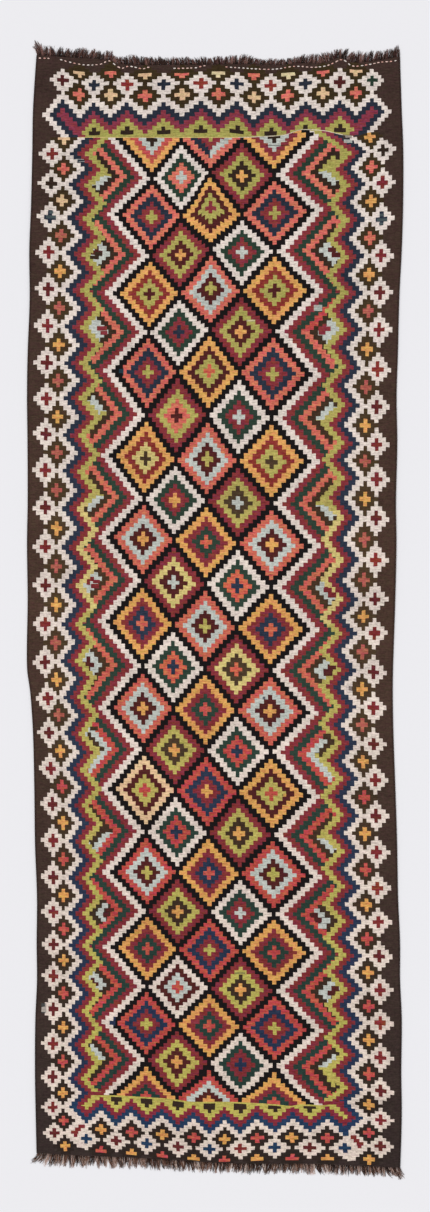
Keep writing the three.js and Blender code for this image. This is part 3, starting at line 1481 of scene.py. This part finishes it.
def near_corner_colours(tree, wool, is_far, side, end):
    """The near corners: below the side's last diamond its bands stop, and the
    wedge between them and the end's first diamond is white."""
    is_near = 1 - is_far
    inside_arm = side["Band"].over(FIRST_BAND)
    stopped = side["Past"].over(ARM_END) * inside_arm * is_near
    side_colour = mixed(tree, stopped, side["Colour"], wool["brown"])
    wedge = is_near * end["Past"].over(0.5) * end["Band"].under(FIRST_BAND)
    wedge = wedge * end["From diamond"].over(CROSS_REACH)
    end_colour = mixed(tree, wedge, end["Colour"], wool["brown"])
    filled = wedge * inside_arm * side["Past"].under(ARM_END)
    return side_colour, mixed(tree, filled, end_colour, wool["ivory"])


def parting_threads(tree, shown, across, beyond, is_far):
    """The threads laid in where the end borders meet the field."""
    middle = placed(0, 0, 0).x / MM
    from_middle = (across - middle).size()
    far = from_middle.under(FAR_THREAD["reach"]) * beyond.size().under(FAR_THREAD["wide"])
    near = from_middle.under(NEAR_THREAD["reach"]) * beyond.size().under(NEAR_THREAD["wide"])
    paler = across.over(middle + PALE_THREAD_START)
    far_yarn = mixed(tree, paler, DYE_STOPS["straw"][0], DYE_STOPS["cream"][0])
    shown = mixed(tree, far * is_far, shown, far_yarn)
    return mixed(tree, near * (1 - is_far), shown, DYE_STOPS["olive"][-1])


def mark_mask(across, along, mark):
    """A small patch with its sides along the threads."""
    place = placed(mark["x"], mark["y"], 0) / MM
    wide = (across - place.x).size().under(mark["wide"] / 2)
    return wide * (along - place.y).size().under(mark["high"] / 2)


def kilim_wool(groups):
    """The cloth's wool: the charts, the dye lots and the weave."""
    material, tree, shader = new_material("kilim wool", FIBRE_ROUGHNESS)
    across, along = object_mm(tree)
    dyed_wool = place_group(
        tree, groups["dyed"], Colour=kilim_colour(tree, groups, across, along),
        Across=across, Along=along, **KILIM_SPREAD,
    )
    weave = place_group(
        tree, groups["weave"], Across=across, Along=along,
        Rib=RIBS_PER_MM, Pick=PICKS_PER_MM,
    )
    # The weave's painted shade multiplies the dyed colour.
    shaded = mixed(tree, 1.0, dyed_wool["Colour"], weave["Shade"], "MULTIPLY")
    plug(tree, shaded, shader.inputs["Base Color"])
    add_bump(tree, shader, weave["Height"], WEAVE_RELIEF)
    return material


def warp_wool(groups):
    """The fringe's wool: each strand has its own undyed or faded colour."""
    material, tree, shader = new_material("warp wool", FIBRE_ROUGHNESS)
    across, along = object_mm(tree)
    dyed_wool = place_group(
        tree, groups["dyed"], Colour=face_dye(tree, "strand"),
        Across=across * STRAND_GRAIN[0], Along=along * STRAND_GRAIN[1], **STRAND_SPREAD,
    )
    plug(tree, dyed_wool["Colour"], shader.inputs["Base Color"])
    add_bump(tree, shader, grain(tree, "fibres", across, along), STRAND_RELIEF)
    return material


# ---- Fringes and stitches ----------------------------------------------------------------

STRAND_SIDES = 4
TUFTS_PER_END = 150
STRANDS_PER_TUFT = 13
STRAND_SHADES = (0.5, 0.85, 1.0, 1.15)  # painted shade from the root, one for each stretch: darker at the root, lighter at the tip
STRAND_CREASE = 60  # degrees
STRAND_FLATNESS = 0.8
ROUGH_CORNERS = (-540, 555)
CORNER_INSET = 1.5  # from the selvedges to the first and last tufts
TUFT_REACH = (0.8, 1.06)  # shares of the fringe's reach
TUFT_GATHER = (0.0, 0.8)  # how far a tuft's strands lean together
TUFT_LEAN_SPREAD = 4.0
STRAND_PLACE_SPREAD = 0.5
STRAND_REACH = (0.55, 1.03)  # shares of the tuft's reach
STRAND_LEAN_SPREAD = 3.0
STRAND_CURL_SPREAD = 1.5
CURL_TURN = 3.1
STRAND_RISE = (0.2, 2.0)
STRAND_WIDTH = (1.6, 2.4)
STRAND_TAPER = 0.62
ROOT_DEPTH = 1.5  # how far a strand starts inside the cloth
ROOT_RISE = 0.5
TIP_HEIGHT = 0.9
TUFT_TONE_SHARE = 0.5  # of a tuft's strands that have the tuft's own colour
FRINGES = {
    "far_fringe_strands": {
        "node": "fringe_far",
        "edge": far_edge_at,
        "table": FAR_FRINGE,
        "outward": 1,
        "colours": {
            "#261B17": 6, "#382721": 6, "#4E352E": 4, "#6E4C44": 3, "#8E665D": 2, "#553030": 1,
        },
    },
    "near_fringe_strands": {
        "node": "fringe_near",
        "edge": near_end_at,
        "table": NEAR_FRINGE,
        "outward": -1,
        "colours": {
            "#2B1E1A": 7, "#463027": 5, "#6A4A3C": 4, "#93705F": 3, "#BA9C90": 3, "#CFBAAE": 1,
        },
    },
}


class Strands:
    """Gathers thin tapered strands into one mesh, each with its own colour."""

    def __init__(self):
        self.vertices = []
        self.faces = []
        self.colours = []

    def add(self, route, widths, colour, shades, sides, flatness):
        """A closed strand along a route, as wide at each point as its width and
        as light on each stretch as its painted shade."""
        first = len(self.vertices)
        dye = linear(colour)
        for i, point in enumerate(route):
            before = route[max(i - 1, 0)]
            after = route[min(i + 1, len(route) - 1)]
            heading = (after - before).normalized()
            across = heading.cross(Vector((0, 0, 1))).normalized()
            up = across.cross(heading)
            for side in range(sides):
                angle = 2 * math.pi * (side + 0.5) / sides
                offset = across * math.cos(angle) + up * math.sin(angle) * flatness
                self.vertices.append(point + offset * widths[i] / 2)
        for i, shade in enumerate(shades):
            here = first + i * sides
            for side in range(sides):
                turn = (side + 1) % sides
                self.faces.append((
                    here + side, here + turn, here + sides + turn, here + sides + side,
                ))
            # Each stretch's colour is darkened or lightened by its painted shade.
            self.colours += [channel * shade for channel in dye] * sides
        last = first + len(shades) * sides
        self.faces.append(tuple(first + side for side in reversed(range(sides))))
        self.faces.append(tuple(last + side for side in range(sides)))
        self.colours += dye * 2

    def piece(self, name, material):
        """The gathered strands as one piece."""
        mesh = bpy.data.meshes.new(name)
        mesh.from_pydata([tuple(v) for v in self.vertices], [], self.faces)
        dyes = mesh.attributes.new("strand", "FLOAT_COLOR", "FACE")
        dyes.data.foreach_set("color", self.colours)
        mesh.materials.append(material)
        made = lay_out(name, mesh)
        pick_up(made)
        bpy.ops.object.mode_set(mode="EDIT")
        bpy.ops.mesh.select_all(action="SELECT")
        bpy.ops.mesh.normals_make_consistent(inside=False)
        bpy.ops.object.mode_set(mode="OBJECT")
        bpy.ops.object.shade_smooth_by_angle(angle=math.radians(STRAND_CREASE))
        return made


def weighted(rng, colours):
    """One of the colours, each as likely as its weight."""
    return rng.choices(list(colours), list(colours.values()))[0]


def fringe(name, spec, material, rng):
    """The cut warp ends along one woven end, hanging together in small tufts."""
    strands = Strands()
    reach_at = smooth_line(spec["table"], "x", "reach")
    lean_at = smooth_line(spec["table"], "x", "lean")
    edge_at, outward = spec["edge"], spec["outward"]
    left = -left_of(edge_at(ROUGH_CORNERS[0])) + CORNER_INSET
    right = right_of(edge_at(ROUGH_CORNERS[1])) - CORNER_INSET
    pitch = (right - left) / TUFTS_PER_END
    for tuft in range(TUFTS_PER_END):
        middle = left + (tuft + 0.5) * pitch
        tuft_reach = reach_at(middle) * rng.uniform(*TUFT_REACH)
        tuft_lean = lean_at(middle) + rng.gauss(0, TUFT_LEAN_SPREAD)
        gather = rng.uniform(*TUFT_GATHER)
        tone = weighted(rng, spec["colours"])
        for strand in range(STRANDS_PER_TUFT):
            share = (strand + 0.5) / STRANDS_PER_TUFT - 0.5
            x = middle + share * pitch + rng.gauss(0, STRAND_PLACE_SPREAD)
            reach = tuft_reach * rng.uniform(*STRAND_REACH)
            lean = tuft_lean - share * pitch * gather + rng.gauss(0, STRAND_LEAN_SPREAD)
            curl = rng.gauss(0, STRAND_CURL_SPREAD)
            rise = rng.uniform(*STRAND_RISE)
            width = rng.uniform(*STRAND_WIDTH)
            route = []
            widths = []
            for point in range(len(STRAND_SHADES) + 1):
                t = point / len(STRAND_SHADES)
                route.append(placed(
                    x + lean * t * t + curl * math.sin(CURL_TURN * t),
                    edge_at(x) + outward * (-ROOT_DEPTH + (reach + ROOT_DEPTH) * t),
                    TIP_HEIGHT + (1 - t) * ROOT_RISE + rise * math.sin(math.pi * t),
                ))
                widths.append(width * (1 - STRAND_TAPER * t) * MM)
            has_tone = rng.random() < TUFT_TONE_SHARE
            colour = tone if has_tone else weighted(rng, spec["colours"])
            strands.add(route, widths, colour, STRAND_SHADES, STRAND_SIDES, STRAND_FLATNESS)
    made = strands.piece(name, material)
    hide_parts(spec["node"])
    return made


STITCH_PITCH = 12.8
STITCH_LENGTH = 6.8
STITCH_WIDTH = 3.5
STITCH_RISE = (0.0, 0.9, 1.0, 0.9, 0.0)
STITCH_TAPER = (0.6, 0.95, 1.0, 0.95, 0.6)
STITCH_LIFT = 0.4
STITCH_SIDES = 6
STITCH_FLATNESS = 0.6
STITCH_WAVER = 0.2
STITCH_YARNS = {"#E9DCD4": 3, "#E6C4B8": 3, "#DDA79A": 2}


def face_height(x, y):
    """Height of the cloth's face over the floor at a place of the tables."""
    across = (x + left_of(y)) / (left_of(y) + right_of(y))
    along = (y - near_end_at(x)) / (far_edge_at(x) - near_end_at(x))
    return CLOTH_THICKNESS + ripple(across, along)


def running_stitches(material, rng):
    """Pale yarn dipping in and out of the cloth beside the far fringe."""
    strands = Strands()
    x = STITCH_LINE[0]["x"]
    while x < STITCH_LINE[-1]["x"]:
        lost = any(gap["start"] < x < gap["end"] for gap in STITCH_GAPS)
        if not lost:
            length = STITCH_LENGTH * rng.uniform(0.8, 1.1)
            route = []
            for step, height in enumerate(STITCH_RISE):
                at = x + length * step / (len(STITCH_RISE) - 1)
                y = stitches_at(at) + rng.gauss(0, STITCH_WAVER)
                route.append(placed(at, y, face_height(at, y) + STITCH_LIFT + height))
            width = STITCH_WIDTH * rng.uniform(0.85, 1.15) * MM
            widths = [width * share for share in STITCH_TAPER]
            shades = [1.0] * (len(route) - 1)
            yarn = weighted(rng, STITCH_YARNS)
            strands.add(route, widths, yarn, shades, STITCH_SIDES, STITCH_FLATNESS)
        x += STITCH_PITCH * rng.uniform(0.92, 1.08)
    return strands.piece("running_stitches", material)


# ---- Studio ------------------------------------------------------------------------------

VIEW_HEIGHT = 3.636  # metres of floor from the bottom to the top of the picture
VIEW_MIDDLE = (0, 12)
LENS = 100.0
SENSOR = 36.0
FLOOR_COLOUR = (0.86, 0.855, 0.885, 1)
FLOOR_ROUGHNESS = 0.9
FLOOR_SIZE = 14
FLOOR_DROP = 0.0004  # keeps the floor just clear of the cloth's back
ROOM_LIGHT = 0.62
WINDOW_LIGHT = 1.35
WINDOW_SOFTNESS = 35  # degrees
WINDOW_TURN = (24, -22, 0)


def studio():
    """A pale floor, soft even light and a camera straight above."""
    bpy.ops.object.select_all(action="DESELECT")
    bpy.ops.mesh.primitive_plane_add(size=FLOOR_SIZE, location=(0, 0, -FLOOR_DROP))
    floor = bpy.context.object
    floor.name = "studio_floor"
    material, _, shader = new_material("pale floor", FLOOR_ROUGHNESS)
    shader.inputs["Base Color"].default_value = FLOOR_COLOUR
    floor.data.materials.append(material)

    world = bpy.data.worlds.new("soft room")
    bpy.context.scene.world = world
    world.use_nodes = True
    sky = next(node for node in world.node_tree.nodes if node.type == "BACKGROUND")
    sky.inputs["Color"].default_value = (1, 1, 1, 1)
    sky.inputs["Strength"].default_value = ROOM_LIGHT

    lamp = bpy.data.lights.new("window", "SUN")
    lamp.energy = WINDOW_LIGHT
    lamp.angle = math.radians(WINDOW_SOFTNESS)
    window = lay_out("window", lamp)
    window.rotation_euler = [math.radians(turn) for turn in WINDOW_TURN]

    lens = bpy.data.cameras.new("camera")
    lens.lens = LENS
    lens.sensor_fit = "VERTICAL"
    lens.sensor_height = SENSOR
    camera = lay_out("camera", lens)
    middle = placed(*VIEW_MIDDLE, 0)
    camera.location = (middle.x, middle.y, VIEW_HEIGHT * LENS / SENSOR)
    bpy.context.scene.camera = camera
    bpy.context.scene.view_settings.view_transform = "Standard"


# ---- Assembly ----------------------------------------------------------------------------


def dress():
    """Every piece of the runner, riding on the one body."""
    rng = random.Random(SEED)
    groups = {
        "beating": uneven_beating_group(),
        "diamonds": stepped_diamonds_group(),
        "border": cross_border_group(),
        "dyed": hand_dyed_group(),
        "weave": kilim_weave_group(),
    }
    cloth = weave_sheet()
    cloth.data.materials.append(kilim_wool(groups))
    thicken(cloth, CLOTH_THICKNESS)
    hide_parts("woven_ground")
    yarn = warp_wool(groups)
    fringes = [fringe(name, spec, yarn, rng) for name, spec in FRINGES.items()]
    stitches = running_stitches(yarn, rng)
    for piece in [cloth, stitches] + fringes:
        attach(piece, "root")


studio()
dress()
